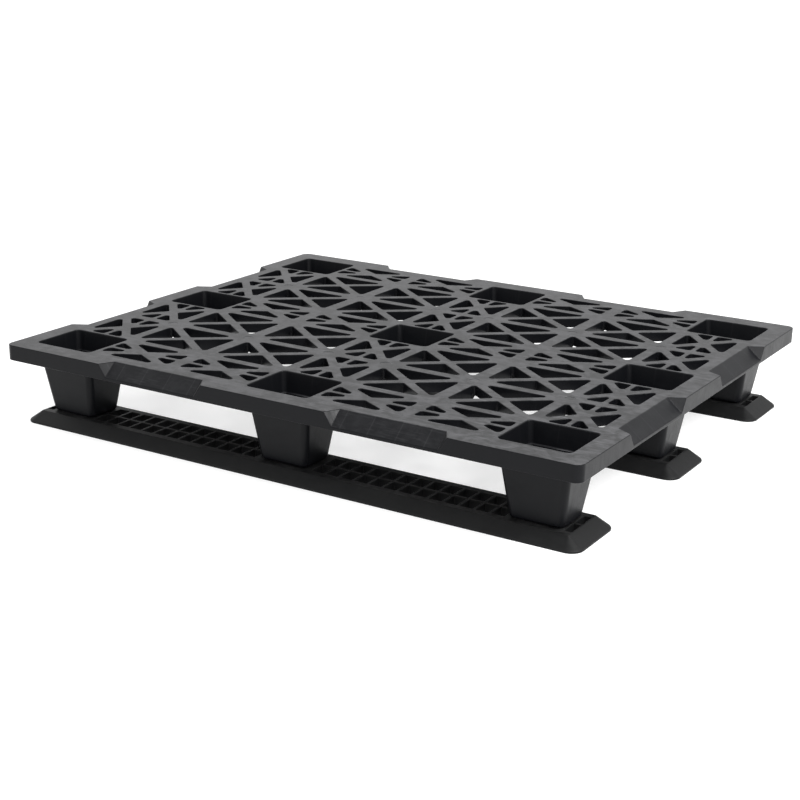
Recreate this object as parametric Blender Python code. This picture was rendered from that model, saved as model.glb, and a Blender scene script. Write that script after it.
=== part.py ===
"""A four-way plastic pallet: an open-lattice deck on nine tapered cup legs, held to three clip-on runners.

Metres, +Z up, origin on the ground under the middle of the pallet. +X runs along the runners.
"""

import math

import bmesh
import bpy
from mathutils import Vector

# Whole pallet
LENGTH = 1.200
WIDTH = 1.000
HEIGHT = 0.160
GAP = 0.0003          # between two pieces that touch
SLACK = 0.002         # how far a cutter reaches past the face that it opens

# Deck
SKIN = 0.004
WALL = 0.003
LATTICE_DEPTH = 0.026
CROSS_DEPTH = 0.0185
RIM_SKIRT = 0.004      # how far the rim reaches below the lattice
RIM_THINNING = 0.0004  # the rim's lowest band is this much thinner than the rest of it
TOP_EDGE = 0.003
DECK_CORNER = 0.016

# Lattice: the columns and rows of cells follow the legs and their wells
WELL_MARGIN_X = 0.0062  # solid skin between a well's wall and the cells beside it
WELL_MARGIN_Y = 0.0038
RIB_BESIDE_COLUMN = 0.022
RIB_BESIDE_STRIP = 0.0195
RIB_MID_X = 0.028
RIB_MID_Y = 0.0215
CROSS_RIB = 0.0175
SPLIT_RIB = 0.010
HOLE_FILLET = 0.0055
CELL_EASE = 0.0004     # how far the shallow zone of a cell runs into the ribs round it

# Sloped panels that guide the forks and straps, two on each side of the deck
PANEL_HALF = 0.102
PANEL_INSET = 0.0285
PANEL_FLARE = 0.0165
PANEL_LIP = 0.006      # upright edge left under a panel

# Legs
LEG_EDGE_X = 0.104     # from the deck's edge to the middle of the outer legs
LEG_EDGE_Y = 0.102
LEG_SEAT_X = 0.0495    # half sizes at the seat
LEG_SEAT_Y = 0.0385
LEG_SLOPE_X = 0.136    # growth of the half size for each metre of height
LEG_SLOPE_Y = 0.158
LEG_CORNER = 0.012
LEG_FOOT_EDGE = 0.005
LEG_FLOOR = 0.004
LEDGE_DEPTH = 0.038    # stacking ledge below the deck's top
LEDGE_WIDTH = 0.0035

# Runners
RUNNER_SETBACK = 0.011  # how far its ends stay back from the deck's ends
RUNNER_WIDTH = 0.147
RUNNER_HEIGHT = 0.022
RUNNER_SLOPE = 0.022   # plan width of the sloped border along the sides
RUNNER_END_SLOPE = 0.0265
RUNNER_LIP = 0.004
RUNNER_CORNER = 0.024
RUNNER_SKIN = 0.0035
GRID_PITCH = 0.0296
GRID_RIB = 0.006
GRID_HOLE_Y = 0.034
GRID_MARGIN = 0.0045   # solid plateau kept round each leg's seat
END_RIB = 0.002        # ribs on both sides of the end holes, beyond the outer legs

# Clips: each runner has two under each leg, through slots in the leg's floor
CLIP_SPREAD = 0.016    # from the leg's middle to the inner face of a clip's post
CLIP_POST = 0.004
CLIP_WIDTH = 0.014
CLIP_BARB = 0.0025
CLIP_HEAD = 0.0055
CLIP_ROOT = 0.002      # how deep a clip is rooted in the runner's skin
CLIP_CLEARANCE = 0.0005

ROUND_STEPS = 3        # facets in each quarter of a rounded corner

# Worked out from the above
RIM_DEPTH = LATTICE_DEPTH + RIM_SKIRT
RIM_BOTTOM = HEIGHT - RIM_DEPTH
LATTICE_BOTTOM = HEIGHT - LATTICE_DEPTH
SEAT = RUNNER_HEIGHT + GAP
LEG_TOP = LATTICE_BOTTOM - GAP
LEDGE = HEIGHT - LEDGE_DEPTH
RUNNER_LENGTH = LENGTH - 2 * RUNNER_SETBACK
LEG_PITCH_X = LENGTH / 2 - LEG_EDGE_X
LEG_PITCH_Y = WIDTH / 2 - LEG_EDGE_Y
MOUTH_X = LEG_SEAT_X + LEG_SLOPE_X * (HEIGHT - SEAT)  # half sizes of a leg's outer face at the deck's top
MOUTH_Y = LEG_SEAT_Y + LEG_SLOPE_Y * (HEIGHT - SEAT)
COLUMN_HALF = MOUTH_X + WELL_MARGIN_X - RIB_BESIDE_COLUMN  # half of the cell column in line with the legs
STRIP_HALF = MOUTH_Y + WELL_MARGIN_Y - RIB_BESIDE_STRIP    # half of the cell strip in line with the legs
LEGS_X = (-LEG_PITCH_X, 0.0, LEG_PITCH_X)
LEGS_Y = (-LEG_PITCH_Y, 0.0, LEG_PITCH_Y)


def rounded_rectangle(half_x, half_y, radius, steps=ROUND_STEPS):
    """Anticlockwise points of a rectangle with round corners, centred on the origin."""
    points = []
    for turn, (side_x, side_y) in enumerate(((1, 1), (-1, 1), (-1, -1), (1, -1))):
        centre = Vector((side_x * (half_x - radius), side_y * (half_y - radius)))
        for step in range(steps + 1):
            angle = math.radians(90 * (turn + step / steps))
            points.append(centre + radius * Vector((math.cos(angle), math.sin(angle))))
    return points


def flatten_corners(points, radius):
    """Replaces each corner of a convex outline by the flat that touches a fillet of this radius midway."""
    result = []
    for index, corner in enumerate(points):
        to_last = (points[index - 1] - corner).normalized()
        to_next = (points[(index + 1) % len(points)] - corner).normalized()
        half_angle = to_last.angle(to_next) / 2
        cut = radius * (1 / math.sin(half_angle) - 1) / math.cos(half_angle)
        result += [corner + cut * to_last, corner + cut * to_next]
    return result


def grow(points, distance):
    """Moves every edge of a convex anticlockwise outline outwards."""
    result = []
    for index, corner in enumerate(points):
        to_last = (points[index - 1] - corner).normalized()
        to_next = (points[(index + 1) % len(points)] - corner).normalized()
        half_angle = to_last.angle(to_next) / 2
        result.append(corner - distance / math.sin(half_angle) * (to_last + to_next).normalized())
    return result


def shift(points, x, y):
    return [point + Vector((x, y)) for point in points]


def rectangle(x_low, x_high, y_low, y_high):
    return [Vector(p) for p in ((x_low, y_low), (x_high, y_low), (x_high, y_high), (x_low, y_high))]


def make_object(name, mesh_builder):
    mesh = bpy.data.meshes.new(name)
    mesh_builder.to_mesh(mesh)
    mesh_builder.free()
    made = bpy.data.objects.new(name, mesh)
    bpy.context.scene.collection.objects.link(made)
    return made


def add_loft(mesh_builder, rings):
    """Joins rings of (outline, z), given from the bottom of the outside on, and caps both ends."""
    loops = [[mesh_builder.verts.new((p.x, p.y, z)) for p in outline] for outline, z in rings]
    mesh_builder.faces.new(loops[0][::-1])
    mesh_builder.faces.new(loops[-1])
    for lower, upper in zip(loops, loops[1:]):
        for index in range(len(lower)):
            after = (index + 1) % len(lower)
            mesh_builder.faces.new((lower[index], lower[after], upper[after], upper[index]))


def loft(name, rings):
    builder = bmesh.new()
    add_loft(builder, rings)
    return make_object(name, builder)


def prisms(name, outlines, bottom, top):
    """One mesh with a separate upright prism for each outline."""
    builder = bmesh.new()
    for outline in outlines:
        add_loft(builder, [(outline, bottom), (outline, top)])
    return make_object(name, builder)


def add_cuboid(mesh_builder, low, high):
    add_loft(mesh_builder, [(rectangle(low[0], high[0], low[1], high[1]), z) for z in (low[2], high[2])])


def combine(target, other, operation="DIFFERENCE"):
    """Adds a Boolean to target and turns other into a hidden helper."""
    modifier = target.modifiers.new(other.name, "BOOLEAN")
    modifier.operation = operation
    modifier.solver = "EXACT"
    modifier.object = other
    other.hide_render = True
    other.display_type = "WIRE"


def finished_mesh(source, name):
    """The evaluated mesh of an object, for the copies to share."""
    bpy.context.view_layer.update()
    graph = bpy.context.evaluated_depsgraph_get()
    mesh = bpy.data.meshes.new_from_object(source.evaluated_get(graph))
    mesh.name = name
    return mesh


def plastic(name, colour, roughness):
    material = bpy.data.materials.new(name)
    material.use_nodes = True
    shader = material.node_tree.nodes["Principled BSDF"]
    shader.inputs["Base Color"].default_value = (*colour, 1)
    shader.inputs["Roughness"].default_value = roughness
    shader.inputs["Metallic"].default_value = 0
    return material


def cell_spans(pitch, half_middle, rib_beside, rib_mid):
    """(centre, half size) of the cells on both sides of one axis, between the lines of legs."""
    half = (pitch - 2 * half_middle - 2 * rib_beside - rib_mid) / 4
    inner = half_middle + rib_beside + half
    outer = pitch - inner
    return [(side * centre, half) for side in (-1, 1) for centre in (inner, outer)]


def spread(cell_columns, cell_rows):
    return [(x, y, half_x, half_y) for x, half_x in cell_columns for y, half_y in cell_rows]


def lattice_cells():
    """Three lists of cells (x, y, half x, half y): wide ones, strips between legs, columns between legs."""
    across = cell_spans(LEG_PITCH_X, COLUMN_HALF, RIB_BESIDE_COLUMN, RIB_MID_X)
    along = cell_spans(LEG_PITCH_Y, STRIP_HALF, RIB_BESIDE_STRIP, RIB_MID_Y)
    wide = spread(across, along)
    strips = spread(across, [(y, STRIP_HALF) for y in LEGS_Y])
    columns = spread([(x, COLUMN_HALF) for x in LEGS_X], along)
    return wide, strips, columns


def cross_offsets(half_x, half_y):
    """Where the crossed ribs' edges meet the cell's upright and level middle lines."""
    angle = math.atan2(half_y, half_x)
    return CROSS_RIB / 2 / math.cos(angle), CROSS_RIB / 2 / math.sin(angle)


def end_triangle(half_x, half_y, split):
    """Holes at the +Y end of a cell: one, or two beside an upright split rib."""
    rise, _ = cross_offsets(half_x, half_y)
    reach = (half_y - rise) * half_x / half_y
    if not split:
        return [[Vector((0, rise)), Vector((reach, half_y)), Vector((-reach, half_y))]]
    near = SPLIT_RIB / 2
    foot = rise + near * half_y / half_x
    right = [Vector((near, foot)), Vector((reach, half_y)), Vector((near, half_y))]
    left = [Vector((-p.x, p.y)) for p in reversed(right)]
    return [right, left]


def turn_outline(points, quarter):
    turned = points
    for _ in range(quarter):
        turned = [Vector((-p.y, p.x)) for p in turned]
    return turned


def cell_holes(cell, split_x=False, split_y=False):
    """Sharp outlines of all holes of one cell. split_x has a rib along X, split_y has one along Y."""
    x, y, half_x, half_y = cell
    outlines = []
    for quarter in range(4):
        on_end = quarter % 2 == 0
        sizes = (half_x, half_y) if on_end else (half_y, half_x)
        split = split_y if on_end else split_x
        for outline in end_triangle(*sizes, split):
            outlines.append(shift(turn_outline(outline, quarter), x, y))
    return outlines


def lattice_holes():
    wide, strips, columns = lattice_cells()
    outlines = []
    for cell in wide:
        outlines += cell_holes(cell)
    for cell in strips:
        outlines += cell_holes(cell, split_x=True)
    for cell in columns:
        outlines += cell_holes(cell, split_y=True)
    return outlines


def shallow_zones():
    """Outlines of all cells: the crossed and split ribs inside them don't reach the lattice's bottom."""
    zones = []
    for group in lattice_cells():
        for x, y, half_x, half_y in group:
            half_x += CELL_EASE
            half_y += CELL_EASE
            zones.append(rectangle(x - half_x, x + half_x, y - half_y, y + half_y))
    return zones


def add_wedge(mesh_builder, middle, across, edge, inset, drop, half_length):
    """The space over one sloped panel. across points along the deck's side, edge outwards to it."""
    ease_out = SLACK
    section = [
        (-ease_out, HEIGHT - drop * (1 + ease_out / inset), 0.0),
        (-ease_out, HEIGHT + ease_out, 1 + ease_out / inset + ease_out / drop),
        (inset * (1 + ease_out / drop), HEIGHT + ease_out, 0.0),
    ]
    ends = []
    for side in (-1, 1):
        end = []
        for inwards, z, opening in section:
            place = middle - inwards * edge + side * (half_length + PANEL_FLARE * opening) * across
            end.append(mesh_builder.verts.new((place.x, place.y, z)))
        ends.append(end)
    mesh_builder.faces.new(ends[0])
    mesh_builder.faces.new(ends[1][::-1])
    for index in range(3):
        after = (index + 1) % 3
        mesh_builder.faces.new((ends[0][after], ends[0][index], ends[1][index], ends[1][after]))


def panel_wedges(name, cover):
    """Wedges over all panels. cover makes them deeper, which leaves a skin of that thickness."""
    drop = RIM_DEPTH - PANEL_LIP
    depth = PANEL_INSET * drop / math.hypot(PANEL_INSET, drop)
    scale = 1 + cover / depth
    builder = bmesh.new()
    for side in (-1, 1):
        for along in (-1, 1):
            places = (
                (Vector((along * LEG_PITCH_X / 2, side * WIDTH / 2)), Vector((1, 0)), Vector((0, side))),
                (Vector((side * LENGTH / 2, along * LEG_PITCH_Y / 2)), Vector((0, 1)), Vector((side, 0))),
            )
            for middle, across, edge in places:
                add_wedge(builder, middle, across, edge, PANEL_INSET * scale, drop * scale, PANEL_HALF + cover)
    bmesh.ops.recalc_face_normals(builder, faces=builder.faces)
    return make_object(name, builder)


def leg_outline(z, inwards, radius=LEG_CORNER):
    """Plan of a leg's tapered wall at height z, moved inwards from the outer face."""
    rise = z - SEAT
    half_x = LEG_SEAT_X + LEG_SLOPE_X * rise - inwards
    half_y = LEG_SEAT_Y + LEG_SLOPE_Y * rise - inwards
    return rounded_rectangle(half_x, half_y, max(radius - inwards, WALL))


def well_lofts(name, inwards, bottom, top):
    """The tapered space of all nine wells, from bottom to top, as one helper."""
    builder = bmesh.new()
    for x in LEGS_X:
        for y in LEGS_Y:
            add_loft(builder, [(shift(leg_outline(z, inwards), x, y), z) for z in (bottom, top)])
    return make_object(name, builder)


def deck_blank():
    half_x = LENGTH / 2
    half_y = WIDTH / 2
    full = rounded_rectangle(half_x, half_y, DECK_CORNER)
    eased = rounded_rectangle(half_x - TOP_EDGE, half_y - TOP_EDGE, DECK_CORNER - TOP_EDGE)
    return loft("deck", [(full, RIM_BOTTOM), (full, HEIGHT - TOP_EDGE), (eased, HEIGHT)])


def deck_channels(holes):
    """The space under the skin, between the walls that hang round the rim, the holes and the wells."""
    inside = rounded_rectangle(LENGTH / 2 - WALL, WIDTH / 2 - WALL, DECK_CORNER - WALL)
    channels = prisms("deck_channels", [inside], RIM_BOTTOM - SLACK, HEIGHT - SKIN)
    walls = prisms("hole_walls", [grow(hole, WALL) for hole in holes], RIM_BOTTOM - 2 * SLACK, HEIGHT)
    collars = well_lofts("well_collars", 0.0, RIM_BOTTOM - 2 * SLACK, HEIGHT)
    combine(channels, walls)
    combine(channels, collars)
    combine(channels, panel_wedges("panel_skins", SKIN))
    return channels


def build_deck():
    deck = deck_blank()
    holes = lattice_holes()
    inset = WALL - RIM_THINNING
    under_rim = rounded_rectangle(LENGTH / 2 - inset, WIDTH / 2 - inset, DECK_CORNER - inset)
    combine(deck, panel_wedges("panel_slopes", 0.0))
    combine(deck, deck_channels(holes))
    combine(deck, prisms("below_lattice", [under_rim], RIM_BOTTOM - SLACK, LATTICE_BOTTOM))
    combine(deck, prisms("below_crosses", shallow_zones(), RIM_BOTTOM - SLACK, HEIGHT - CROSS_DEPTH))
    rounded = [flatten_corners(hole, HOLE_FILLET) for hole in holes]
    combine(deck, prisms("lattice_holes", rounded, RIM_BOTTOM - SLACK, HEIGHT + SLACK))
    combine(deck, well_lofts("wells", WALL, RIM_BOTTOM - SLACK, HEIGHT + SLACK))
    deck.data.materials.append(plastic("deck_plastic", (0.034, 0.035, 0.037), 0.42))
    return deck


def clip_slots():
    """Plan outlines of the two slots in a leg's floor."""
    near = CLIP_SPREAD - CLIP_CLEARANCE
    far = CLIP_SPREAD + CLIP_POST + CLIP_CLEARANCE
    half = CLIP_WIDTH / 2 + CLIP_CLEARANCE
    return [rectangle(near, far, -half, half), rectangle(-far, -near, -half, half)]


def leg_mesh():
    """One cup, centred on the origin in plan: outer wall, rim at the deck, stacking ledge, floor."""
    floor = SEAT + LEG_FLOOR
    inner = WALL + LEDGE_WIDTH
    rings = [
        (leg_outline(SEAT, LEG_FOOT_EDGE), SEAT),
        (leg_outline(SEAT + LEG_FOOT_EDGE, 0.0), SEAT + LEG_FOOT_EDGE),
        (leg_outline(LEG_TOP, 0.0), LEG_TOP),
        (leg_outline(LEG_TOP, WALL), LEG_TOP),
        (leg_outline(LEDGE, WALL), LEDGE),
        (leg_outline(LEDGE, inner), LEDGE),
        (leg_outline(floor, inner), floor),
    ]
    cup = loft("leg_blank", rings)
    slots = prisms("leg_slots", clip_slots(), SEAT - SLACK, floor + SLACK)
    combine(cup, slots)
    mesh = finished_mesh(cup, "leg")
    for helper in (cup, slots):
        bpy.data.objects.remove(helper)
    return mesh


def build_legs():
    mesh = leg_mesh()
    mesh.materials.append(plastic("leg_plastic", (0.030, 0.031, 0.033), 0.45))
    rows = (("front", LEGS_Y[0]), ("middle", LEGS_Y[1]), ("back", LEGS_Y[2]))
    columns = (("left", LEGS_X[0]), ("middle", LEGS_X[1]), ("right", LEGS_X[2]))
    for row, y in rows:
        for column, x in columns:
            name = "leg_centre" if row == column else f"leg_{row}_{column}"
            leg = bpy.data.objects.new(name, mesh)
            leg.location = (x, y, 0)
            bpy.context.scene.collection.objects.link(leg)


def runner_outline(end_inwards, side_inwards):
    radius = max(RUNNER_CORNER - side_inwards, RUNNER_LIP)
    return rounded_rectangle(RUNNER_LENGTH / 2 - end_inwards, RUNNER_WIDTH / 2 - side_inwards, radius)


def under_border(slope):
    """(inwards at the top, height at the foot) of the skin's inner face under a border this wide."""
    rise = RUNNER_HEIGHT - RUNNER_LIP
    slant = math.hypot(slope, rise)
    sideways = RUNNER_SKIN * rise / slant
    down = RUNNER_SKIN * slope / slant
    run_per_rise = slope / rise
    top_inwards = slope + sideways + (down - RUNNER_SKIN) * run_per_rise
    knee = RUNNER_LIP - down + (RUNNER_SKIN - sideways) / run_per_rise
    return top_inwards, knee


def runner_cavity():
    """The space under the runner's skin, apart from the blocks that hold the grids of holes."""
    end_top, end_knee = under_border(RUNNER_END_SLOPE)
    side_top, side_knee = under_border(RUNNER_SLOPE)
    foot = runner_outline(RUNNER_SKIN, RUNNER_SKIN)
    rings = [
        (foot, -SLACK),
        (foot, min(end_knee, side_knee)),
        (runner_outline(end_top, side_top), RUNNER_HEIGHT - RUNNER_SKIN),
    ]
    return loft("runner_cavity", rings)


def grid_columns():
    """X places of the holes between the middle leg and an outer one."""
    nearest = LEG_SEAT_X + GRID_MARGIN
    first = math.ceil(nearest / GRID_PITCH - 0.5)
    count = math.floor((LEG_PITCH_X - LEG_SEAT_X - GRID_MARGIN / 2) / GRID_PITCH) - first
    return [(first + index + 0.5) * GRID_PITCH for index in range(count)]


def grid_layout():
    """(x low, x high) of every column of holes at +X, the last one beyond the outer leg."""
    half = (GRID_PITCH - GRID_RIB) / 2
    columns = [(x - half, x + half) for x in grid_columns()]
    end_low = LEG_PITCH_X + LEG_SEAT_X + END_RIB
    end_high = RUNNER_LENGTH / 2 - RUNNER_END_SLOPE - END_RIB
    return columns, (end_low, end_high)


def both_ends(spans):
    return [span for low, high in spans for span in ((low, high), (-high, -low))]


def runner_holes():
    columns, end = grid_layout()
    near = GRID_RIB / 2
    far = near + GRID_HOLE_Y
    outlines = []
    for low, high in both_ends([*columns, end]):
        outlines.append(rectangle(low, high, near, far))
        outlines.append(rectangle(low, high, -far, -near))
    return prisms("runner_holes", outlines, -2 * SLACK, RUNNER_HEIGHT + SLACK)


def grid_blocks():
    """The solid blocks of ribs, which reach the ground."""
    columns, end = grid_layout()
    half = GRID_RIB / 2 + GRID_HOLE_Y + WALL
    spans = both_ends([(columns[0][0], columns[-1][1]), end])
    outlines = [rectangle(low - WALL, high + WALL, -half, half) for low, high in spans]
    return prisms("grid_blocks", outlines, -2 * SLACK, RUNNER_HEIGHT)


def clip_section():
    """Side view (x, z) of one clip: an upright post with a barb that points away from the leg's middle."""
    inner = CLIP_SPREAD
    outer = CLIP_SPREAD + CLIP_POST
    barb = SEAT + LEG_FLOOR + GAP
    tip = barb + CLIP_HEAD
    root = RUNNER_HEIGHT - CLIP_ROOT
    return [(inner, root), (outer, root), (outer, barb), (outer + CLIP_BARB, barb), (outer, tip), (inner, tip)]


def clips():
    """All clips of one runner."""
    builder = bmesh.new()
    for x in LEGS_X:
        for side in (-1, 1):
            sides = []
            for y in (-CLIP_WIDTH / 2, CLIP_WIDTH / 2):
                sides.append([builder.verts.new((x + side * place, y, z)) for place, z in clip_section()])
            builder.faces.new(sides[0])
            builder.faces.new(sides[1][::-1])
            for index in range(len(sides[0])):
                after = (index + 1) % len(sides[0])
                builder.faces.new((sides[0][after], sides[0][index], sides[1][index], sides[1][after]))
    bmesh.ops.recalc_face_normals(builder, faces=builder.faces)
    return make_object("clips", builder)


def runner_mesh():
    rings = [
        (runner_outline(0.0, 0.0), 0.0),
        (runner_outline(0.0, 0.0), RUNNER_LIP),
        (runner_outline(RUNNER_END_SLOPE, RUNNER_SLOPE), RUNNER_HEIGHT),
    ]
    blank = loft("runner_blank", rings)
    cavity = runner_cavity()
    blocks = grid_blocks()
    holes = runner_holes()
    hooks = clips()
    combine(cavity, blocks)
    combine(blank, cavity)
    combine(blank, holes)
    combine(blank, hooks, "UNION")
    mesh = finished_mesh(blank, "runner")
    for helper in (blank, cavity, blocks, holes, hooks):
        bpy.data.objects.remove(helper)
    return mesh


def build_runners():
    mesh = runner_mesh()
    mesh.materials.append(plastic("runner_plastic", (0.026, 0.026, 0.026), 0.55))
    for name, y in (("front", LEGS_Y[0]), ("middle", LEGS_Y[1]), ("back", LEGS_Y[2])):
        runner = bpy.data.objects.new(f"runner_{name}", mesh)
        runner.location = (0, y, 0)
        bpy.context.scene.collection.objects.link(runner)


def main():
    for old in list(bpy.data.objects):
        bpy.data.objects.remove(old)
    build_deck()
    build_legs()
    build_runners()


main()
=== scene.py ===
import math

import bmesh
import bpy
from mathutils import Matrix, Vector


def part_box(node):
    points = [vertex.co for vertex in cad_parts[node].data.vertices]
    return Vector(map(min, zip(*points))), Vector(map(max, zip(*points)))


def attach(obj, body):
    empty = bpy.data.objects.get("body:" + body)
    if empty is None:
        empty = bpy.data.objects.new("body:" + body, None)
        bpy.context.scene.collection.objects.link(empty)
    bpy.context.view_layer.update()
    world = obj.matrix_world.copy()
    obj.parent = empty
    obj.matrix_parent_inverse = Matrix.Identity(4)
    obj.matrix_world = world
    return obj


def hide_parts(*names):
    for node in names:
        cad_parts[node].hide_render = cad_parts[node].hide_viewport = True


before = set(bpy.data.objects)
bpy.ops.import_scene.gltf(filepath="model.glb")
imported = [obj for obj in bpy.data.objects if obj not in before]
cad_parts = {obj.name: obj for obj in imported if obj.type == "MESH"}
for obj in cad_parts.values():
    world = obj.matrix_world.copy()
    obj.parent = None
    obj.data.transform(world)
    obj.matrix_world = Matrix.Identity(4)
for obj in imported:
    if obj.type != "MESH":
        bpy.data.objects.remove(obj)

print("pallet: frame loaded")
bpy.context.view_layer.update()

# places and heights that the frame gives
deckLow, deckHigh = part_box("deck")
legLow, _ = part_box("leg_centre")
farLegLow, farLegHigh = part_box("leg_back_right")
runnerLow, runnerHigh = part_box("runner_middle")
topZ = deckHigh.z
rimZ = deckLow.z
seatZ = legLow.z
halfLength = deckHigh.x
halfWidth = deckHigh.y
legPitch = Vector(((farLegLow.x + farLegHigh.x) / 2, (farLegLow.y + farLegHigh.y) / 2))
legColumns = (-legPitch.x, 0.0, legPitch.x)
legRows = (-legPitch.y, 0.0, legPitch.y)


# node trees: sockets take part in arithmetic, every other node comes from put()
class Signal:
    def __init__(self, sheet, socket):
        self.sheet = sheet
        self.socket = socket

    def of(self, name):
        return Signal(self.sheet, self.socket.node.outputs[name])

    def work(self, operation, first, second=0.5):
        return self.sheet.put("ShaderNodeMath", {"operation": operation}, {0: first, 1: second})

    def __add__(self, other):
        return self.work("ADD", self, other)

    def __radd__(self, other):
        return self.work("ADD", other, self)

    def __sub__(self, other):
        return self.work("SUBTRACT", self, other)

    def __rsub__(self, other):
        return self.work("SUBTRACT", other, self)

    def __mul__(self, other):
        return self.work("MULTIPLY", self, other)

    def __rmul__(self, other):
        return self.work("MULTIPLY", other, self)

    def __truediv__(self, other):
        return self.work("DIVIDE", self, other)

    def __rtruediv__(self, other):
        return self.work("DIVIDE", other, self)

    def __pow__(self, other):
        return self.work("POWER", self, other)

    def __lt__(self, other):
        return self.work("LESS_THAN", self, other)

    def __gt__(self, other):
        return self.work("GREATER_THAN", self, other)

    def __abs__(self):
        return self.work("ABSOLUTE", self)

    def least(self, other):
        return self.work("MINIMUM", self, other)

    def most(self, other):
        return self.work("MAXIMUM", self, other)

    def cut(self):
        return self.most(0.0).least(1.0)


class Sheet:
    def __init__(self, tree):
        self.tree = tree

    def put(self, kind, settings=None, sockets=None, output=0):
        node = self.tree.nodes.new(kind)
        for name, value in (settings or {}).items():
            setattr(node, name, value)
        for name, value in (sockets or {}).items():
            self.feed(node.inputs[name], value)
        return Signal(self, node.outputs[output]) if len(node.outputs) else node

    def feed(self, socket, value):
        if isinstance(value, (list, tuple)) and value and isinstance(value[0], Signal):
            for one in value:
                self.tree.links.new(one.socket, socket)
        elif isinstance(value, Signal):
            self.tree.links.new(value.socket, socket)
        else:
            socket.default_value = value


class ShapeSheet(Sheet):
    # a geometry node tree with named inputs
    def __init__(self, name, inputs):
        super().__init__(bpy.data.node_groups.new(name, "GeometryNodeTree"))
        face = self.tree.interface
        face.new_socket(name="Geometry", in_out="INPUT", socket_type="NodeSocketGeometry")
        for label, kind in inputs.items():
            face.new_socket(name=label, in_out="INPUT", socket_type="NodeSocket" + kind)
        face.new_socket(name="Geometry", in_out="OUTPUT", socket_type="NodeSocketGeometry")
        self.start = self.put("NodeGroupInput")

    def given(self, name):
        return self.start.of(name)

    def lip(self, outline):
        # rounds an outline's corners and sweeps the given wall profile along it
        rounded = self.put("GeometryNodeFilletCurve", {"mode": "POLY"}, {
            "Curve": outline, "Count": self.given("Fillet steps"), "Radius": self.given("Fillet"),
            "Limit Radius": True})
        upright = self.put("GeometryNodeSetCurveNormal", {"mode": "Z_UP"}, {"Curve": rounded})
        profile = self.put("GeometryNodeObjectInfo", None, {"Object": self.given("Profile")}, "Geometry")
        return self.put("GeometryNodeCurveToMesh", None, {"Curve": upright, "Profile Curve": profile})

    def grid(self):
        # points in the given columns and rows, about the origin
        return self.put("GeometryNodeMeshGrid", None, {
            "Size X": (self.given("Columns") - 1) * self.given("Pitch X"),
            "Size Y": (self.given("Rows") - 1) * self.given("Pitch Y"),
            "Vertices X": self.given("Columns"), "Vertices Y": self.given("Rows")})

    def end(self, shape, material):
        whole = self.put("GeometryNodeRealizeInstances", None, {"Geometry": shape})
        coloured = self.put("GeometryNodeSetMaterial", None, {"Geometry": whole, "Material": material})
        self.put("NodeGroupOutput", None, {"Geometry": coloured})
        return self.tree


# mesh helpers: distances in metres, the angle in degrees
meshLimits = {"weld": 1e-6, "collapse": 1e-7, "levelNear": 1e-5, "sharpAngle": 38, "flatWeight": 90,
              "leastRadius": 0.0004}
arcMiddle = 0.3  # a rounded edge with one middle point keeps it this share of its radius from both faces


def link(thing):
    bpy.context.scene.collection.objects.link(thing)
    return thing


def looseMesh(name, builder):
    # a mesh with no object
    mesh = bpy.data.meshes.new(name)
    builder.to_mesh(mesh)
    builder.free()
    return mesh


def meshObject(name, builder):
    return link(bpy.data.objects.new(name, looseMesh(name, builder)))


def curveObject(name, lines, closed):
    curve = bpy.data.curves.new(name, "CURVE")
    curve.dimensions = "3D"
    for line in lines:
        spline = curve.splines.new("POLY")
        spline.points.add(len(line) - 1)
        for point, place in zip(spline.points, line):
            point.co = (*place, 1.0)
        spline.use_cyclic_u = closed
    return link(bpy.data.objects.new(name, curve))


def addSkin(builder, rings):
    # quads between closed rings of points with equal counts
    loops = [[builder.verts.new(point) for point in ring] for ring in rings]
    for lower, upper in zip(loops, loops[1:]):
        for index in range(len(lower)):
            after = (index + 1) % len(lower)
            builder.faces.new((lower[index], lower[after], upper[after], upper[index]))


def roundedRectangle(halfX, halfY, radius, z, steps=8):
    radius = max(radius, meshLimits["leastRadius"])
    points = []
    for turn, (sideX, sideY) in enumerate(((1, 1), (-1, 1), (-1, -1), (1, -1))):
        for step in range(steps + 1):
            angle = math.radians(90 * (turn + step / steps))
            x = sideX * (halfX - radius) + radius * math.cos(angle)
            y = sideY * (halfY - radius) + radius * math.sin(angle)
            points.append(Vector((x, y, z)))
    return points


def quarterArc(radius, steps):
    # (sideways, down) from a flat top round to an upright wall
    angles = [math.radians(90 * step / steps) for step in range(steps + 1)]
    return [(radius * (1 - math.sin(a)), radius * (1 - math.cos(a))) for a in angles]


def evaluatedMesh(source):
    bpy.context.view_layer.update()
    graph = bpy.context.evaluated_depsgraph_get()
    return bpy.data.meshes.new_from_object(source.evaluated_get(graph))


def runTree(source, tree, values, name):
    # evaluates a geometry node tree on an object and keeps the result as a plain mesh
    modifier = source.modifiers.new(name, "NODES")
    modifier.node_group = tree
    for item in tree.interface.items_tree:
        if item.in_out == "INPUT" and item.name in values:
            modifier[item.identifier] = values[item.name]
    mesh = evaluatedMesh(source)
    mesh.name = name
    source.modifiers.remove(modifier)
    return mesh


def discard(*things):
    for thing in things:
        bpy.data.objects.remove(thing)


def joined(name, meshes):
    builder = bmesh.new()
    for mesh in meshes:
        builder.from_mesh(mesh)
    return meshObject(name, builder)


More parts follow.
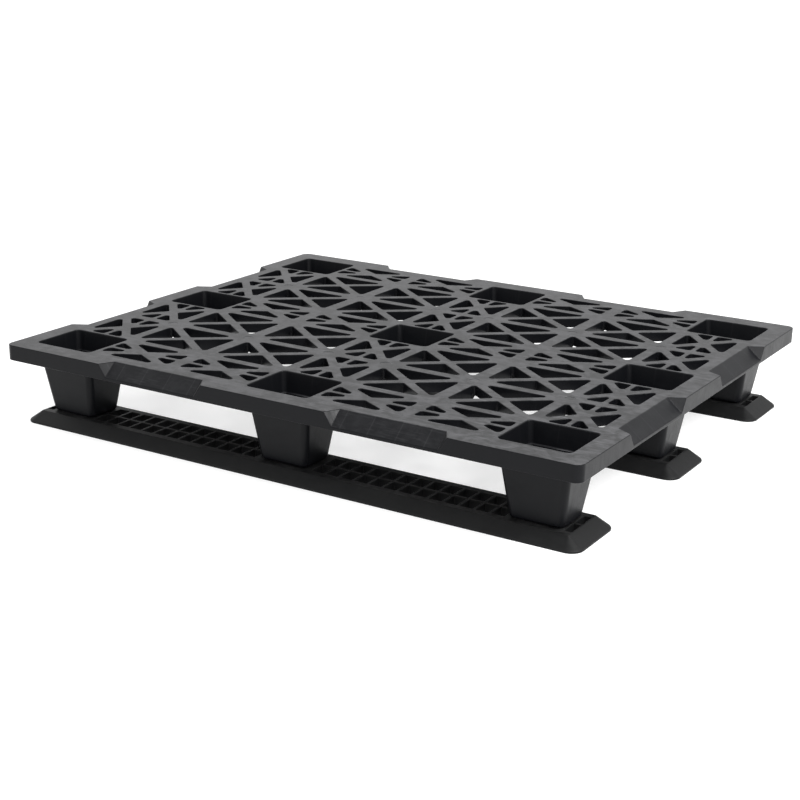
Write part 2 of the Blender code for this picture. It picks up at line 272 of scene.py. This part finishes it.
def finishPiece(name, mesh, material):
    builder = bmesh.new()
    builder.from_mesh(mesh)
    bmesh.ops.remove_doubles(builder, verts=builder.verts, dist=meshLimits["weld"])
    bmesh.ops.dissolve_degenerate(builder, edges=builder.edges, dist=meshLimits["collapse"])
    bmesh.ops.recalc_face_normals(builder, faces=builder.faces)
    openEdges = sum(1 for edge in builder.edges if len(edge.link_faces) != 2)
    print("pallet:", name, len(builder.faces), "faces,", openEdges, "open edges")
    piece = meshObject(name, builder)
    piece.data.materials.clear()
    piece.data.materials.append(material)
    piece.data.shade_smooth()
    piece.data.set_sharp_from_angle(angle=math.radians(meshLimits["sharpAngle"]))
    # big flat faces keep their own normals, so that only the rounded edges shade round
    flatten = piece.modifiers.new("flatFaces", "WEIGHTED_NORMAL")
    flatten.keep_sharp = True
    flatten.weight = meshLimits["flatWeight"]
    shaded = evaluatedMesh(piece)
    piece.modifiers.remove(flatten)
    shaded.name = name
    piece.data = shaded
    return piece


# geometry node trees
lipInputs = {"Fillet": "Float", "Fillet steps": "Int", "Profile": "Object"}
gridInputs = {"Columns": "Int", "Rows": "Int", "Pitch X": "Float", "Pitch Y": "Float"}


def lipTree():
    # a lip along each flat outline
    sheet = ShapeSheet("holeLips", lipInputs)
    return sheet.end(sheet.lip(sheet.given("Geometry")), None)


def holeGridTree():
    # one lipped rectangular hole, set out in columns and rows about a centre
    sheet = ShapeSheet("holeGrid", {
        **gridInputs, **lipInputs, "Hole X": "Float", "Hole Y": "Float", "Centre": "Vector"})
    outline = sheet.put("GeometryNodeCurvePrimitiveQuadrilateral", None, {
        "Width": sheet.given("Hole X"), "Height": sheet.given("Hole Y")})
    spots = sheet.put("GeometryNodeTransform", None, {
        "Geometry": sheet.grid(), "Translation": sheet.given("Centre")})
    holes = sheet.put("GeometryNodeInstanceOnPoints", None, {"Points": spots, "Instance": sheet.lip(outline)})
    return sheet.end(holes, None)


def setOutTree():
    # copies of one shape on a grid about the origin
    sheet = ShapeSheet("setOut", {"Shape": "Object", **gridInputs})
    shape = sheet.put("GeometryNodeObjectInfo", None, {"Object": sheet.given("Shape")}, "Geometry")
    copies = sheet.put("GeometryNodeInstanceOnPoints", None, {"Points": sheet.grid(), "Instance": shape})
    return sheet.end(copies, None)


def fillTree(levelCount):
    # closes the open loops that lie at each level with one flat face
    labels = [f"Level {index + 1}" for index in range(levelCount)]
    sheet = ShapeSheet("levelFills", {**{label: "Float" for label in labels}, "Near": "Float"})
    height = sheet.put("ShaderNodeSeparateXYZ", None, {
        "Vector": sheet.put("GeometryNodeInputPosition")}, "Z")
    single = sheet.put("GeometryNodeInputMeshEdgeNeighbors") < 1.5
    parts = [sheet.given("Geometry")]
    for label in labels:
        atLevel = abs(height - sheet.given(label)) < sheet.given("Near")
        loops = sheet.put("GeometryNodeMeshToCurve", None, {
            "Mesh": sheet.given("Geometry"), "Selection": single * atLevel})
        flat = sheet.put("GeometryNodeFillCurve", {"mode": "TRIANGLES"}, {"Curve": loops})
        lift = sheet.put("ShaderNodeCombineXYZ", None, {"Z": sheet.given(label)})
        parts.append(sheet.put("GeometryNodeTransform", None, {"Geometry": flat, "Translation": lift}))
    whole = sheet.put("GeometryNodeJoinGeometry", None, {"Geometry": parts})
    welded = sheet.put("GeometryNodeMergeByDistance", None, {
        "Geometry": whole, "Distance": sheet.given("Near")})
    return sheet.end(welded, None)


lipNodes = lipTree()
holeGridNodes = holeGridTree()
setOutNodes = setOutTree()


def closeLevels(name, shell, levels):
    values = {f"Level {index + 1}": level for index, level in enumerate(levels)}
    return runTree(shell, fillTree(len(levels)), {**values, "Near": meshLimits["levelNear"]}, name)


# deck lattice: triangular holes between crossed ribs, in cells that follow the legs
lattice = {
    "columnHalf": 0.0523, "stripHalf": 0.0444, "ribBesideColumn": 0.022, "ribBesideStrip": 0.0195,
    "ribMidX": 0.028, "ribMidY": 0.0215, "crossRib": 0.0175, "splitRib": 0.010, "fillet": 0.0055,
    "filletSteps": 5, "edgeRound": 0.0012, "edgeSteps": 3, "support": 0.0004, "wall": 0.003, "skin": 0.004,
    "depth": 0.026, "crossDepth": 0.0185, "cellEase": 0.0006,
}


def cellSpans(pitch, halfMiddle, ribBeside, ribMid):
    half = (pitch - 2 * halfMiddle - 2 * ribBeside - ribMid) / 4
    inner = halfMiddle + ribBeside + half
    return [(side * centre, half) for side in (-1, 1) for centre in (inner, pitch - inner)]


def latticeCells():
    # (x, y, half x, half y, rib along x, rib along y) for every cell
    across = cellSpans(legPitch.x, lattice["columnHalf"], lattice["ribBesideColumn"], lattice["ribMidX"])
    along = cellSpans(legPitch.y, lattice["stripHalf"], lattice["ribBesideStrip"], lattice["ribMidY"])
    wide = [(x, y, hx, hy, False, False) for x, hx in across for y, hy in along]
    strips = [(x, y, hx, lattice["stripHalf"], True, False) for x, hx in across for y in legRows]
    columns = [(x, y, lattice["columnHalf"], hy, False, True) for x in legColumns for y, hy in along]
    return wide + strips + columns


def endHoles(halfX, halfY, split):
    # sharp outlines at the +y end of a cell, anticlockwise
    angle = math.atan2(halfY, halfX)
    rise = lattice["crossRib"] / 2 / math.cos(angle)
    reach = (halfY - rise) * halfX / halfY
    if not split:
        return [[(0.0, rise), (reach, halfY), (-reach, halfY)]]
    near = lattice["splitRib"] / 2
    foot = rise + near * halfY / halfX
    right = [(near, foot), (reach, halfY), (near, halfY)]
    return [right, [(-x, y) for x, y in reversed(right)]]


def latticeOutlines():
    outlines = []
    for x, y, halfX, halfY, ribX, ribY in latticeCells():
        for quarter in range(4):
            sizes = (halfX, halfY, ribY) if quarter % 2 == 0 else (halfY, halfX, ribX)
            turn = Matrix.Rotation(math.radians(90 * quarter), 2)
            for outline in endHoles(*sizes):
                turned = [turn @ Vector(point) for point in outline]
                outlines.append([(x + p.x, y + p.y, topZ) for p in turned])
    return outlines


def lipProfile(name, size, depth, inner):
    # side view of a hole's lip: flat support, rounded edge, wall, and the wall's inner face up to the skin
    points = [(size["edgeRound"] + size["support"], 0.0)]
    points += quarterArc(size["edgeRound"], size["edgeSteps"])
    points.append((0.0, depth))
    if inner:
        points += [(size["wall"], depth), (size["wall"], size["skin"])]
    return curveObject(name, [[(x, down, 0.0) for x, down in points]], False)


def insideCell(x, y, cells):
    ease = lattice["cellEase"]
    return any(abs(x - cx) < hx - ease and abs(y - cy) < hy - ease for cx, cy, hx, hy, _, _ in cells)


def latticeLips():
    plan = curveObject("holePlan", latticeOutlines(), True)
    profile = lipProfile("holeProfile", lattice, lattice["depth"], True)
    mesh = runTree(plan, lipNodes, {
        "Fillet": lattice["fillet"], "Fillet steps": lattice["filletSteps"], "Profile": profile,
    }, "latticeLips")
    cells = latticeCells()
    # walls of the crossed ribs are shallower than those of the straight ones
    for vertex in mesh.vertices:
        atBottom = vertex.co.z < topZ - lattice["depth"] + meshLimits["levelNear"]
        if atBottom and insideCell(vertex.co.x, vertex.co.y, cells):
            vertex.co.z = topZ - lattice["crossDepth"]
    discard(plan, profile)
    return mesh


# legs: hollow tapered cups with a stacking ledge inside and slots for the runner's clips in the floor
leg = {
    "seatX": 0.0495, "seatY": 0.0385, "slopeX": 0.136, "slopeY": 0.158, "corner": 0.012, "wall": 0.003,
    "footRound": 0.005, "mouthRound": 0.0018, "floor": 0.004, "ledgeDepth": 0.038, "ledgeWidth": 0.0035,
    "ledgeRound": 0.001, "floorRound": 0.003, "slotNear": 0.0155, "slotFar": 0.0205, "slotHalf": 0.0075,
    "slotRound": 0.0008, "slotSteps": 2, "wallRings": 7, "footSteps": 4, "mouthSteps": 3,
}


def legRing(z, inwards, extra=0.0):
    # extra moves the ring sideways without following the taper
    rise = z - seatZ
    halfX = leg["seatX"] + leg["slopeX"] * rise - inwards + extra
    halfY = leg["seatY"] + leg["slopeY"] * rise - inwards + extra
    return roundedRectangle(halfX, halfY, leg["corner"] - inwards + extra, z)


def legOutside():
    foot = leg["footRound"]
    skinZ = topZ - lattice["skin"]
    rings = [legRing(skinZ, 0.0)]
    for part in reversed(range(leg["wallRings"])):
        rings.append(legRing(seatZ + foot + (skinZ - seatZ - foot) * part / leg["wallRings"], 0.0))
    for _, down in quarterArc(foot, leg["footSteps"])[::-1][1:]:
        rings.append(legRing(seatZ + down, foot - math.sqrt(foot**2 - (foot - down)**2)))
    return rings


def legInside():
    wall = leg["wall"]
    ledgeZ = topZ - leg["ledgeDepth"]
    floorZ = seatZ + leg["floor"]
    inner = wall + leg["ledgeWidth"]
    mouth = leg["mouthRound"]
    rings = [legRing(topZ, wall, mouth + lattice["support"])]
    rings += [legRing(topZ - down, wall, sideways) for sideways, down in quarterArc(mouth, leg["mouthSteps"])]
    edge = leg["ledgeRound"]
    rings.append(legRing(ledgeZ + edge, wall))
    rings.append(legRing(ledgeZ, wall + edge))
    rings.append(legRing(ledgeZ, inner - edge))
    rings.append(legRing(ledgeZ - edge * arcMiddle, inner - edge * arcMiddle))
    rings.append(legRing(ledgeZ - edge, inner))
    bottom = leg["floorRound"]
    rings.append(legRing(floorZ + bottom, inner))
    rings.append(legRing(floorZ + bottom * arcMiddle, inner + bottom * arcMiddle))
    rings.append(legRing(floorZ, inner + bottom))
    return rings


def slotRings(side):
    rings = []
    for z in (seatZ + leg["floor"], seatZ):
        centre = side * (leg["slotNear"] + leg["slotFar"]) / 2
        halfX = (leg["slotFar"] - leg["slotNear"]) / 2
        ring = roundedRectangle(halfX, leg["slotHalf"], leg["slotRound"], z, leg["slotSteps"])
        rings.append([point + Vector((centre, 0, 0)) for point in ring])
    return rings


def legCups():
    builder = bmesh.new()
    addSkin(builder, legOutside())
    addSkin(builder, legInside())
    for side in (-1, 1):
        addSkin(builder, slotRings(side))
    cup = meshObject("cup", builder)
    carrier = meshObject("cupCarrier", bmesh.new())
    mesh = runTree(carrier, setOutNodes, {
        "Shape": cup, "Columns": 3, "Rows": 3, "Pitch X": legPitch.x, "Pitch Y": legPitch.y}, "legCups")
    discard(cup, carrier)
    return mesh


# rim: skirt round the deck with two sloped panels on each side
rim = {
    "corner": 0.016, "cornerSteps": 8, "wall": 0.003, "flat": 0.033, "edgeRound": 0.0014, "roundSteps": 3,
    "edgeAngle": 28, "panelHalf": 0.102, "panelInset": 0.0285, "panelFlare": 0.0165, "panelLip": 0.006,
}


def panelOpening(place, panelCentres):
    # 1 on a sloped panel, 0 on the plain skirt, and between the two on the panel's flared end
    for centre in panelCentres:
        past = abs(place - centre) - rim["panelHalf"]
        if past <= 0:
            return 1.0
        if past < rim["panelFlare"]:
            return 1 - past / rim["panelFlare"]
    return 0.0


def sideStations(half, pitch):
    # places along one side: its straight run, with every corner of its panels and two points between
    reach = rim["panelHalf"]
    stops = set()
    for centre in (-pitch / 2, pitch / 2):
        for end in (reach, reach + rim["panelFlare"]):
            stops |= {centre - end, centre + end}
        stops |= {centre - reach / 3, centre + reach / 3}
    straight = half - rim["corner"]
    return [-straight, *sorted(stops), straight], (-pitch / 2, pitch / 2)


def rimRing(inset, z, slopeInset, slopeDrop):
    # one ring round the rim: inset and z are its plain place, the slopes are added where a panel is open
    points = []
    sides = (
        (halfLength, legPitch.x, Vector((1, 0)), Vector((0, -1)), halfWidth),
        (halfWidth, legPitch.y, Vector((0, 1)), Vector((1, 0)), halfLength),
        (halfLength, legPitch.x, Vector((-1, 0)), Vector((0, 1)), halfWidth),
        (halfWidth, legPitch.y, Vector((0, -1)), Vector((-1, 0)), halfLength),
    )
    for half, pitch, along, outwards, reach in sides:
        stations, centres = sideStations(half, pitch)
        for station in stations:
            opening = panelOpening(station, centres)
            place = station * along + (reach - inset - slopeInset * opening) * outwards
            points.append(Vector((place.x, place.y, z - slopeDrop * opening)))
        centre = (half - rim["corner"]) * along + (reach - rim["corner"]) * outwards
        for step in range(1, rim["cornerSteps"]):
            angle = math.radians(90 * step / rim["cornerSteps"])
            spoke = math.cos(angle) * outwards + math.sin(angle) * along
            place = centre + (rim["corner"] - inset) * spoke
            points.append(Vector((place.x, place.y, z)))
    return points


def squareRing(inset, z):
    # the rim's inner border, with the same number of points as the other rings
    points = []
    for point in rimRing(0.0, z, 0.0, 0.0):
        x = max(-halfLength + inset, min(halfLength - inset, point.x))
        y = max(-halfWidth + inset, min(halfWidth - inset, point.y))
        points.append(Vector((x, y, z)))
    return points


def rimShell():
    drop = topZ - rimZ - rim["panelLip"]
    inset = rim["panelInset"]
    depth = inset * drop / math.hypot(inset, drop)
    scale = 1 + lattice["skin"] / depth
    skin = lattice["skin"]
    wall = rim["wall"]
    innerTop = inset * scale * (1 - skin / (drop * scale))
    innerDrop = drop * scale * (1 - wall / (inset * scale))
    rings = [
        rimRing(wall, topZ - skin, innerTop - wall, 0.0),
        rimRing(wall, topZ - skin, 0.0, innerDrop - skin),
        rimRing(wall, rimZ, 0.0, 0.0),
        rimRing(0.0, rimZ, 0.0, 0.0),
        rimRing(0.0, topZ, 0.0, drop),
        rimRing(0.0, topZ, inset, 0.0),
        squareRing(rim["flat"], topZ),
    ]
    builder = bmesh.new()
    addSkin(builder, rings)
    bmesh.ops.remove_doubles(builder, verts=builder.verts, dist=meshLimits["weld"])
    shell = meshObject("rim", builder)
    bevel = shell.modifiers.new("edges", "BEVEL")
    bevel.width = rim["edgeRound"]
    bevel.segments = rim["roundSteps"]
    bevel.limit_method = "ANGLE"
    bevel.angle_limit = math.radians(rim["edgeAngle"])
    bevel.use_clamp_overlap = True
    mesh = evaluatedMesh(shell)
    discard(shell)
    return mesh


# round gate marks, shallow dishes on the crossings between the wells
mark = {"radius": 0.010, "depth": 0.0003, "steps": 28, "places": (0.063, 0.250, 0.437)}


def markRings():
    builder = bmesh.new()
    turns = [math.tau * step / mark["steps"] for step in range(mark["steps"])]
    for side in (-1, 1):
        for x in mark["places"]:
            for y in (-legPitch.y / 2, legPitch.y / 2):
                rings = []
                for sunk in (0.0, mark["depth"]):
                    radius = mark["radius"] - sunk
                    around = [(side * x + radius * math.cos(a), y + radius * math.sin(a)) for a in turns]
                    rings.append([Vector((*place, topZ - sunk)) for place in around])
                addSkin(builder, rings)
    return looseMesh("marks", builder)


def buildDeck(material):
    parts = [latticeLips(), legCups(), rimShell(), markRings()]
    shell = joined("deckShell", parts)
    levels = [topZ, topZ - lattice["skin"], topZ - mark["depth"], seatZ + leg["floor"], seatZ]
    mesh = closeLevels("deckMoulding", shell, levels)
    discard(shell)
    piece = finishPiece("deckMoulding", mesh, material)
    legNodes = [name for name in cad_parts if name.startswith("leg_")]
    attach(piece, "root")
    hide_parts("deck", *legNodes)


# runners: skids with a sloped border and two rows of square holes, and the clips that hold them;
# lipCurve and crestCurve give (inwards, up) as shares of lipRound and crestRound
runner = {
    "height": 0.022, "slope": 0.022, "endSlope": 0.0265, "lip": 0.004, "corner": 0.024, "leastCorner": 0.0006,
    "skin": 0.0035, "pitch": 0.0296, "rib": 0.006, "holeY": 0.034, "firstColumn": 2, "columns": 13,
    "endHoleX": 0.013, "endRib": 0.002, "fillet": 0.0014, "filletSteps": 3, "edgeRound": 0.0009,
    "edgeSteps": 3, "support": 0.0003, "blockWall": 0.003, "blockRound": 0.001, "blockSteps": 2,
    "blockClear": 0.0003, "footRound": 0.0004, "lipRound": 0.0012,
    "lipCurve": ((0.0, -1.0), (0.25, -0.35), (1.0, 0.6)),
    "crestRound": 0.001, "crestCurve": ((-0.5, -0.32), (0.0, -0.05), (0.5, 0.0)),
}
clip = {"spread": 0.016, "post": 0.004, "width": 0.014, "barb": 0.0025, "head": 0.0055, "root": 0.002,
        "gap": 0.0003}
extraSlope = runner["endSlope"] - runner["slope"]  # how much wider the sloped border is at the ends


def runnerRing(inwards, z):
    halfX = runnerHigh.x - inwards - extraSlope * min(inwards / runner["slope"], 1.0)
    halfY = (runnerHigh.y - runnerLow.y) / 2 - inwards
    return roundedRectangle(halfX, halfY, max(runner["corner"] - inwards, runner["leastCorner"]), z)


def runnerBorder():
    # (inwards, z) of the border's outside and inside, and how far in the inside meets the top skin
    height = runner["height"]
    slope = runner["slope"]
    lip = runner["lip"]
    slant = math.hypot(slope, height - lip)
    skin = runner["skin"]
    sideways = skin * (height - lip) / slant
    down = skin * slope / slant
    perRise = slope / (height - lip)
    top = height - skin
    topInwards = slope + sideways + (top - (height - down)) * perRise
    knee = lip - down + (skin - sideways) / perRise
    foot = runner["footRound"]
    lipEdge = runner["lipRound"]
    crest = runner["crestRound"]
    outside = [(foot, 0.0), (0.0, foot)]
    outside += [(lipEdge * across, lip + lipEdge * up) for across, up in runner["lipCurve"]]
    outside.append((slope - crest, height - crest / perRise))
    outside += [(slope + crest * across, height + crest * up) for across, up in runner["crestCurve"]]
    inside = [(skin, 0.0), (skin, knee), (topInwards, top)]
    return outside, inside, topInwards


def blockSpans(topInwards):
    # the blocks of ribs under the grids: (x low, x high)
    first = runner["firstColumn"] * runner["pitch"] + runner["rib"] / 2
    last = (runner["firstColumn"] + runner["columns"]) * runner["pitch"] - runner["rib"] / 2
    endHigh = runnerHigh.x - runner["endSlope"] - runner["endRib"]
    wall = runner["blockWall"]
    insideEnd = runnerHigh.x - topInwards - extraSlope - runner["blockClear"]
    endLow = endHigh - runner["endHoleX"]
    spans = [(first - wall, last + wall), (endLow - wall, min(endHigh + wall, insideEnd))]
    return spans + [(-high, -low) for low, high in spans]


def addBlocks(builder, topInwards):
    halfY = runner["rib"] / 2 + runner["holeY"] + runner["blockWall"]
    top = runner["height"] - runner["skin"]
    for low, high in blockSpans(topInwards):
        middle = Vector(((low + high) / 2, 0, 0))
        rings = []
        for z in (0.0, top):
            ring = roundedRectangle((high - low) / 2, halfY, runner["blockRound"], z, runner["blockSteps"])
            rings.append([point + middle for point in ring])
        addSkin(builder, rings)


def runnerHoles(profile):
    carrier = meshObject("holeCarrier", bmesh.new())
    rowPitch = runner["holeY"] + runner["rib"]
    bayMiddle = (runner["firstColumn"] + runner["columns"] / 2) * runner["pitch"]
    endMiddle = runnerHigh.x - runner["endSlope"] - runner["endRib"] - runner["endHoleX"] / 2
    holeX = runner["pitch"] - runner["rib"]
    bays = ((bayMiddle, runner["columns"], holeX), (endMiddle, 1, runner["endHoleX"]))
    meshes = []
    for side in (-1, 1):
        for middle, columns, width in bays:
            meshes.append(runTree(carrier, holeGridNodes, {
                "Columns": columns, "Rows": 2, "Pitch X": runner["pitch"], "Pitch Y": rowPitch,
                "Hole X": width, "Hole Y": runner["holeY"], "Fillet": runner["fillet"],
                "Fillet steps": runner["filletSteps"], "Centre": (side * middle, 0.0, runner["height"]),
                "Profile": profile}, "runnerHoles"))
    discard(carrier)
    return meshes


def addClips(builder):
    barbZ = seatZ + leg["floor"] + clip["gap"]
    near = clip["spread"]
    far = near + clip["post"]
    rootZ = runner["height"] - clip["root"]
    headZ = barbZ + clip["head"]
    barb = (far + clip["barb"], barbZ)
    section = [(near, rootZ), (far, rootZ), (far, barbZ), barb, (far, headZ), (near, headZ)]
    for x in legColumns:
        for side in (-1, 1):
            ends = []
            for y in (-clip["width"] / 2, clip["width"] / 2):
                ends.append([builder.verts.new((x + side * place, y, z)) for place, z in section])
            builder.faces.new(ends[0])
            builder.faces.new(ends[1][::-1])
            for index in range(len(section)):
                after = (index + 1) % len(section)
                builder.faces.new((ends[0][after], ends[0][index], ends[1][index], ends[1][after]))


def runnerMesh():
    builder = bmesh.new()
    outside, inside, topInwards = runnerBorder()
    addSkin(builder, [runnerRing(inwards, z) for inwards, z in outside])
    addSkin(builder, [runnerRing(inwards, z) for inwards, z in inside])
    addBlocks(builder, topInwards)
    border = meshObject("border", builder)
    profile = lipProfile("gridProfile", runner, runner["height"], False)
    shell = joined("runnerShell", [border.data, *runnerHoles(profile)])
    mesh = closeLevels("runnerSkid", shell, [runner["height"], runner["height"] - runner["skin"], 0.0])
    whole = bmesh.new()
    whole.from_mesh(mesh)
    addClips(whole)
    discard(border, profile, shell)
    return looseMesh("runnerWhole", whole)


def buildRunners(material):
    mesh = runnerMesh()
    for name, y in zip(("front", "middle", "back"), legRows):
        copy = mesh.copy()
        copy.transform(Matrix.Translation((0, y, 0)))
        piece = finishPiece(f"{name}Runner", copy, material)
        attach(piece, "root")
        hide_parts(f"runner_{name}")


# moulded black plastic: cloudy flow streaks, fine grain, worn scuffs and handling dust on what faces up
deckFinish = {
    "colour": (0.0046, 0.0049, 0.0060), "pale": (0.098, 0.098, 0.104), "cloud": 0.40, "roughness": 0.35,
    # sink sets how pale the painted sheen of the sink lines is
    "specular": 0.13, "scuff": 0.55, "grain": 0.22, "sinkSheen": 0.22,
}
runnerFinish = {
    "colour": (0.0062, 0.0064, 0.0067), "pale": (0.038, 0.0382, 0.0385), "cloud": 0.38, "roughness": 0.50,
    "specular": 0.19, "scuff": 0.45, "grain": 0.35, "sinkSheen": 0.0,
}
plastic = {
    "cloudScale": 27.0, "cloudDetail": 7.0, "cloudWarp": 0.8, "rough": 0.66, "streakScale": (22.0, 60.0, 8.0),
    "streakDetail": 6.0, "streakWarp": 1.8, "grainScale": 900.0, "grainDetail": 2.0, "cloudShare": 0.55,
    "dustLevel": 0.45, "dustStep": 9, "flatPower": 8, "scuffLines": ((31, 420, 0.40), (-52, 520, 0.39)),
    "scuffLength": 0.05, "scuffStep": 14, "scuffDetail": 3.0, "scuffRough": 0.08, "grainWear": 0.12,
    "sinkPitch": 0.054, "sinkHalf": 0.0016, "endStep": 8, "cloudRough": 0.22, "streakRough": 0.16,
    "grainRough": 0.10, "cloudBump": 1.5, "bumpDepth": 0.0002,
}


def scuffMarks(sheet, place, turn, scale, thin):
    # long thin scratches in one direction
    along = scale * plastic["scuffLength"]
    turned = sheet.put("ShaderNodeMapping", None, {
        "Vector": place, "Rotation": (0.0, 0.0, math.radians(turn)), "Scale": (along, scale, along)})
    noise = sheet.put("ShaderNodeTexNoise", None, {
        "Vector": turned, "Scale": 1.0, "Detail": plastic["scuffDetail"]}, "Fac")
    return ((noise - (1 - thin)) * plastic["scuffStep"]).cut()


def mouldedPlastic(name, finish):
    material = bpy.data.materials.new(name)
    material.use_nodes = True
    sheet = Sheet(material.node_tree)
    shader = material.node_tree.nodes["Principled BSDF"]
    shader.inputs["Specular IOR Level"].default_value = finish["specular"]
    place = sheet.put("ShaderNodeTexCoord", None, None, "Object")
    normal = sheet.put("ShaderNodeNewGeometry", None, None, "True Normal")
    facing = sheet.put("ShaderNodeSeparateXYZ", None, {"Vector": normal}, "Z").most(0.0)
    flat = facing ** plastic["flatPower"]
    cloud = sheet.put("ShaderNodeTexNoise", None, {
        "Vector": place, "Scale": plastic["cloudScale"], "Detail": plastic["cloudDetail"],
        "Roughness": plastic["rough"], "Distortion": plastic["cloudWarp"]}, "Fac")
    streakPlace = sheet.put("ShaderNodeMapping", None, {"Vector": place, "Scale": plastic["streakScale"]})
    streak = sheet.put("ShaderNodeTexNoise", None, {
        "Vector": streakPlace, "Scale": 1.0, "Detail": plastic["streakDetail"],
        "Roughness": plastic["rough"], "Distortion": plastic["streakWarp"]}, "Fac")
    grain = sheet.put("ShaderNodeTexNoise", None, {
        "Vector": place, "Scale": plastic["grainScale"], "Detail": plastic["grainDetail"]}, "Fac")
    first, second = (scuffMarks(sheet, place, *line) for line in plastic["scuffLines"])
    scuffs = first.most(second)
    mixed = cloud * plastic["cloudShare"] + streak * (1 - plastic["cloudShare"])
    dust = ((mixed - plastic["dustLevel"]) * plastic["dustStep"]).cut() * flat
    speckle = (grain - 0.5) * plastic["grainWear"] * facing
    wear = (scuffs * finish["scuff"] * flat + dust * finish["cloud"] + speckle).cut()
    # faint upright sink lines over the ribs behind the sloped panels: real shallow dents, whose sheen is
    # painted in as pale colour
    sideways = sheet.put("ShaderNodeSeparateXYZ", None, {"Vector": normal}, "X")
    alongX = sheet.put("ShaderNodeSeparateXYZ", None, {"Vector": place}, "X")
    alongY = sheet.put("ShaderNodeSeparateXYZ", None, {"Vector": place}, "Y")
    onEnd = (sideways * sideways * plastic["endStep"]).cut()
    along = alongX * (1 - onEnd) + alongY * onEnd
    cycle = along.work("PINGPONG", along, plastic["sinkPitch"] / 2)
    high = sheet.put("ShaderNodeSeparateXYZ", None, {"Vector": place}, "Z") > rimZ
    sinkSheen = (1 - cycle / plastic["sinkHalf"]).cut() * facing * (1 - facing ** 3) * high
    colour = sheet.put("ShaderNodeMix", {"data_type": "RGBA"}, {
        # the pale sink lines are a painted sheen standing in for the light those dents catch
        0: (wear + sinkSheen * finish["sinkSheen"]).cut(), 6: (*finish["colour"], 1.0), 7: (*finish["pale"], 1.0)}, 2)
    sheet.feed(shader.inputs["Base Color"], colour)
    mottle = (cloud - 0.5) * plastic["cloudRough"] + (streak - 0.5) * plastic["streakRough"]
    mottle = mottle + (grain - 0.5) * plastic["grainRough"]
    sheet.feed(shader.inputs["Roughness"], finish["roughness"] + mottle + scuffs * plastic["scuffRough"])
    bump = sheet.put("ShaderNodeBump", None, {
        "Height": grain + (cloud - 0.5) * plastic["cloudBump"], "Strength": finish["grain"],
        "Distance": plastic["bumpDepth"]})
    sheet.feed(shader.inputs["Normal"], bump)
    return material


deckPlastic = mouldedPlastic("deckPlastic", deckFinish)
runnerPlastic = mouldedPlastic("runnerPlastic", runnerFinish)
buildDeck(deckPlastic)
print("pallet: deck made")
buildRunners(runnerPlastic)
print("pallet: runners made")

# studio
camera = {"place": (1.5092, -2.5322, 0.9566), "azimuth": 32.831, "elevation": 19.274, "roll": 0.585,
          "lens": 69.99, "sensor": 36.0, "shiftX": 0.0535, "shiftY": 0.0590}


def setCamera():
    data = bpy.data.cameras.new("camera")
    data.lens = camera["lens"]
    data.sensor_width = camera["sensor"]
    data.shift_x = camera["shiftX"]
    data.shift_y = camera["shiftY"]
    thing = link(bpy.data.objects.new("camera", data))
    tilt = Matrix.Rotation(math.radians(90 - camera["elevation"]), 4, "X")
    turn = Matrix.Rotation(math.radians(camera["azimuth"]), 4, "Z")
    roll = Matrix.Rotation(math.radians(camera["roll"]), 4, "Z")
    thing.matrix_world = Matrix.Translation(camera["place"]) @ turn @ tilt @ roll
    bpy.context.scene.camera = thing


studio = {
    "floor": 0.56, "floorRoughness": 0.9, "floorGlow": 0.58, "floorHalf": 400,
    "skyFront": 0.45, "skyBack": 1.08, "skyTop": 1.40, "skyTurn": (-0.85, 0.53, 0.0), "skySteep": 1.1,
    "skyShift": 0.08,
    "boxes": {
        "keyBox": {"place": (2.7, -0.4, 2.35), "target": (0, 0, 0.1), "size": (0.9, 0.9), "power": 85},
        "frontBox": {"place": (1.9, -2.4, 2.8), "target": (0.3, 0, 0.1), "size": (1.3, 1.3), "power": 42},
        "sideBox": {"place": (3.2, 1.2, 1.5), "target": (0, 0, 0.1), "size": (2.0, 2.4), "power": 4},
    },
}


def areaLight(name, box):
    data = bpy.data.lights.new(name, "AREA")
    data.energy = box["power"]
    data.shape = "RECTANGLE"
    data.size, data.size_y = box["size"]
    thing = link(bpy.data.objects.new(name, data))
    thing.location = box["place"]
    towards = Vector(box["target"]) - Vector(box["place"])
    thing.rotation_euler = towards.to_track_quat("-Z", "Y").to_euler()


def setFloor():
    builder = bmesh.new()
    bmesh.ops.create_grid(builder, x_segments=1, y_segments=1, size=studio["floorHalf"])
    floor = meshObject("studioFloor", builder)
    white = bpy.data.materials.new("studioWhite")
    white.use_nodes = True
    shader = white.node_tree.nodes["Principled BSDF"]
    shader.inputs["Base Color"].default_value = (studio["floor"],) * 3 + (1,)
    shader.inputs["Roughness"].default_value = studio["floorRoughness"]
    shader.inputs["Specular IOR Level"].default_value = 0.0
    shader.inputs["Emission Color"].default_value = (1, 1, 1, 1)
    shader.inputs["Emission Strength"].default_value = studio["floorGlow"]
    floor.data.materials.append(white)


def setSky():
    # a white tent that is dimmer behind the camera
    world = bpy.data.worlds.new("studioWorld")
    world.use_nodes = True
    sheet = Sheet(world.node_tree)
    look = sheet.put("ShaderNodeTexCoord", None, None, "Generated")
    along = sheet.put("ShaderNodeVectorMath", {"operation": "DOT_PRODUCT"}, {
        0: look, 1: studio["skyTurn"]}, "Value")
    height = sheet.put("ShaderNodeSeparateXYZ", None, {"Vector": look}, "Z").most(0.0)
    back = (along * studio["skySteep"] + studio["skyShift"]).cut()
    side = studio["skyFront"] + (studio["skyBack"] - studio["skyFront"]) * back
    background = world.node_tree.nodes["Background"]
    sheet.feed(background.inputs["Strength"], side * (1 - height) + studio["skyTop"] * height)
    background.inputs["Color"].default_value = (1, 1, 1, 1)
    bpy.context.scene.world = world


setCamera()
setFloor()
setSky()
for name, box in studio["boxes"].items():
    areaLight(name, box)
bpy.context.scene.view_settings.view_transform = "Standard"
print("pallet: studio set")
